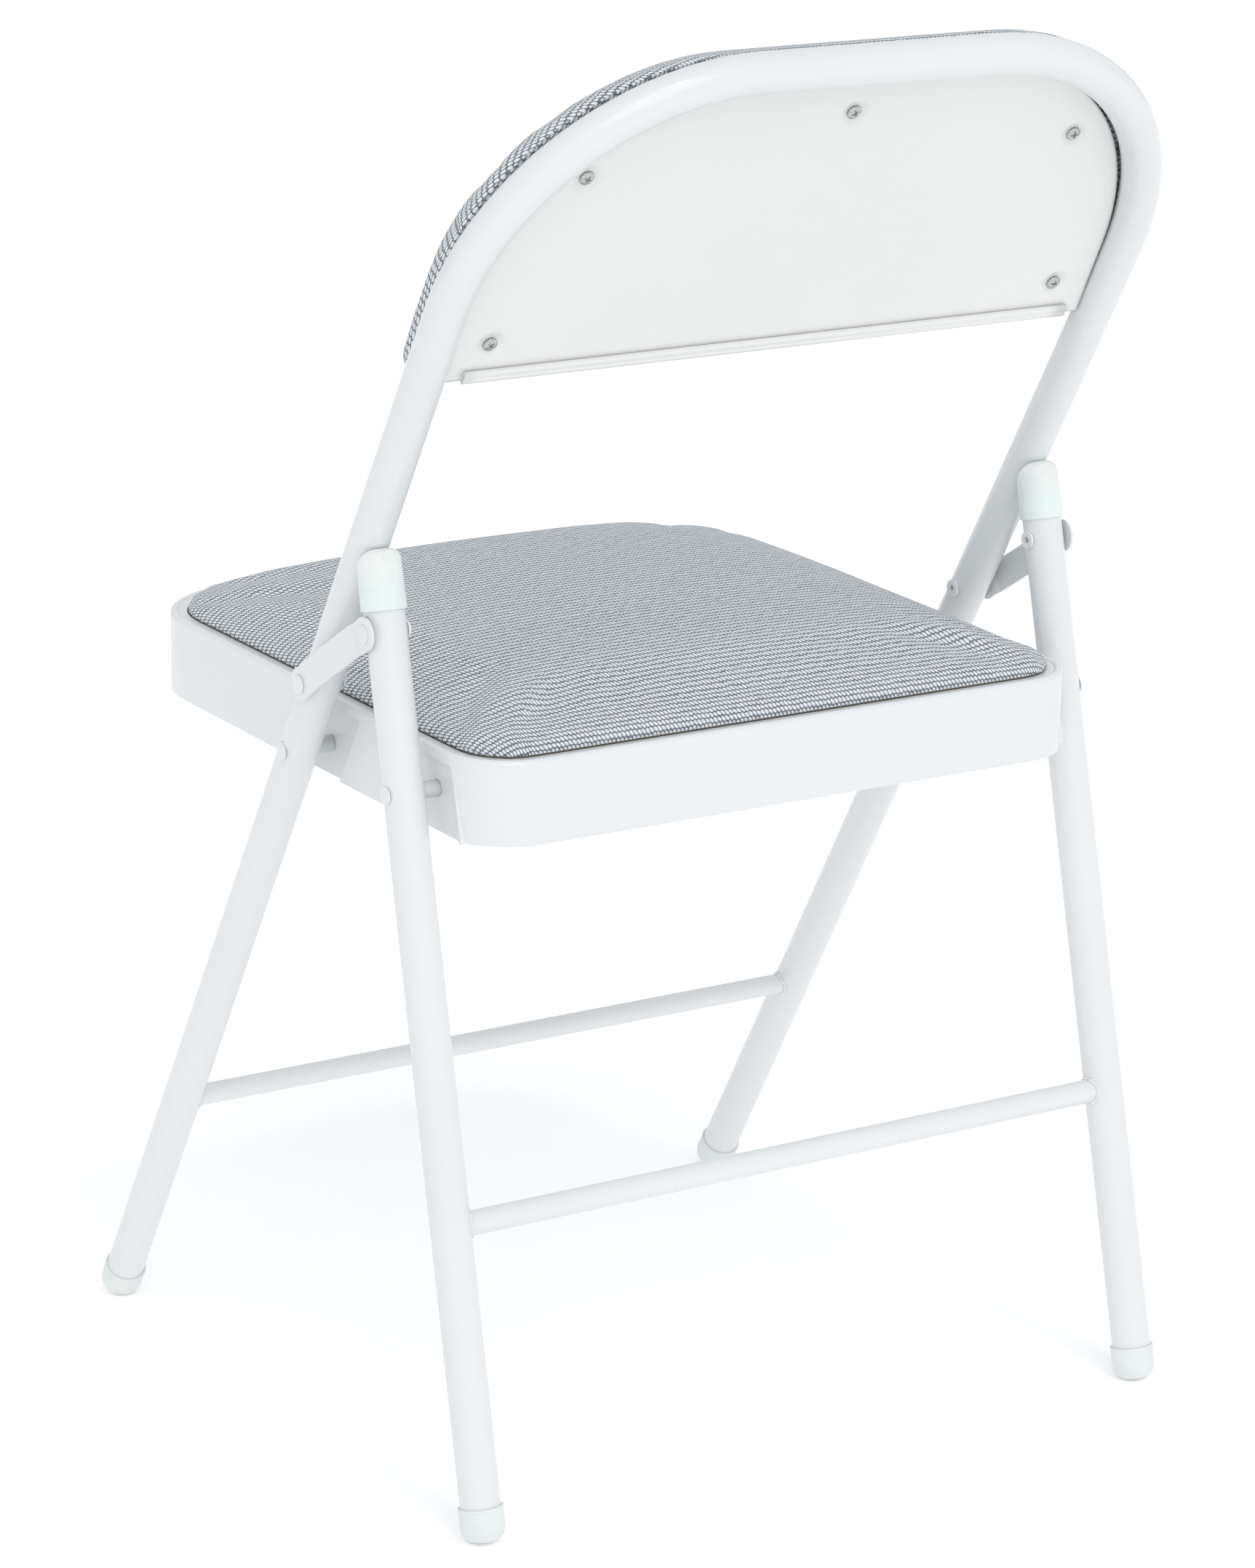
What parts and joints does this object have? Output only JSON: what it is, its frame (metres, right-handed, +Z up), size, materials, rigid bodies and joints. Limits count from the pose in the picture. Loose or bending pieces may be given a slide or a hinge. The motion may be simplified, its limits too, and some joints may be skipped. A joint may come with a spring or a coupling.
{
  "type": "folding chair",
  "caption": "Folding chair with a hooped steel tube frame, hinged rear legs, side links, a padded sheet steel seat and a padded back.",
  "frame": {"origin": "on the floor, under the centre of the open chair's bounding box", "axes": "+X to the sitter's left, -Y to the front, where the sitter faces, +Z up"},
  "size_m": [0.4562, 0.5068, 0.7812],
  "materials": {
    "white_steel": "semi-gloss white powder coat",
    "rivet_steel": "white painted rivet",
    "foot_plastic": "satin near-white moulding",
    "cap_plastic": "satin moulding, slightly translucent, faintly green",
    "spacer_plastic": "satin moulding",
    "seat_fabric": "coarse two-tone weave in grey-blue and white",
    "back_fabric": "coarse two-tone weave in grey-blue and white",
    "plywood": "bare plywood",
    "zinc_steel": "bright zinc plate"
  },
  "bodies": {
    "frame": {"front_frame": "white_steel", "front_crossbar": "white_steel", "front_foot_left": "foot_plastic", "front_foot_right": "foot_plastic", "back_panel": "white_steel", "back_board": "plywood", "back_pad": "back_fabric", "back_screw_top": "zinc_steel", "back_screw_upper_left": "zinc_steel", "back_screw_upper_right": "zinc_steel", "back_screw_lower_left": "zinc_steel", "back_screw_lower_right": "zinc_steel", "seat_rivet_left": "rivet_steel", "seat_rivet_right": "rivet_steel", "seat_spacer_left": "spacer_plastic", "seat_spacer_right": "spacer_plastic", "link_rivet_left": "rivet_steel", "link_rivet_right": "rivet_steel"},
    "seat": {"seat_pan": "white_steel", "seat_board": "plywood", "seat_pad": "seat_fabric", "seat_screw_front_left": "zinc_steel", "seat_screw_front_right": "zinc_steel", "seat_screw_rear_left": "zinc_steel", "seat_screw_rear_right": "zinc_steel"},
    "rear_legs": {"rear_leg_left": "white_steel", "rear_leg_right": "white_steel", "rear_crossbar": "white_steel", "rear_cap_left": "cap_plastic", "rear_cap_right": "cap_plastic", "rear_foot_left": "foot_plastic", "rear_foot_right": "foot_plastic", "leg_rivet_left": "rivet_steel", "leg_rivet_right": "rivet_steel", "leg_spacer_left": "spacer_plastic", "leg_spacer_right": "spacer_plastic", "link_tail_left": "rivet_steel", "link_tail_right": "rivet_steel"},
    "link_left": {"link_left": "white_steel", "link_pin_left": "rivet_steel"},
    "link_right": {"link_right": "white_steel", "link_pin_right": "rivet_steel"}
  },
  "joints": [
    {"name": "seat_fold", "type": "hinge", "parent": "frame", "child": "seat", "pos_m": [0, 0.00119, 0.3915], "axis": [-1, 0, 0], "range_deg": [0, 110.2]},
    {"name": "rear_legs_fold", "type": "hinge", "parent": "seat", "child": "rear_legs", "pos_m": [0, 0.11701, 0.39236], "axis": [-1, 0, 0], "range_deg": [-66.35, 0]},
    {"name": "link_left_turn", "type": "hinge", "parent": "frame", "child": "link_left", "pos_m": [0.2253, 0.02849, 0.43435], "axis": [-1, 0, 0], "range_deg": [0, 134.56]},
    {"name": "link_right_turn", "type": "hinge", "parent": "frame", "child": "link_right", "pos_m": [-0.2253, 0.02849, 0.43435], "axis": [-1, 0, 0], "range_deg": [0, 134.56]}
  ],
  "couplings": [
    {"joint": "rear_legs_fold", "follows": "seat_fold", "ratio": -0.6016},
    {"joint": "link_left_turn", "follows": "seat_fold", "ratio": 1.2206},
    {"joint": "link_right_turn", "follows": "seat_fold", "ratio": 1.2206}
  ]
}
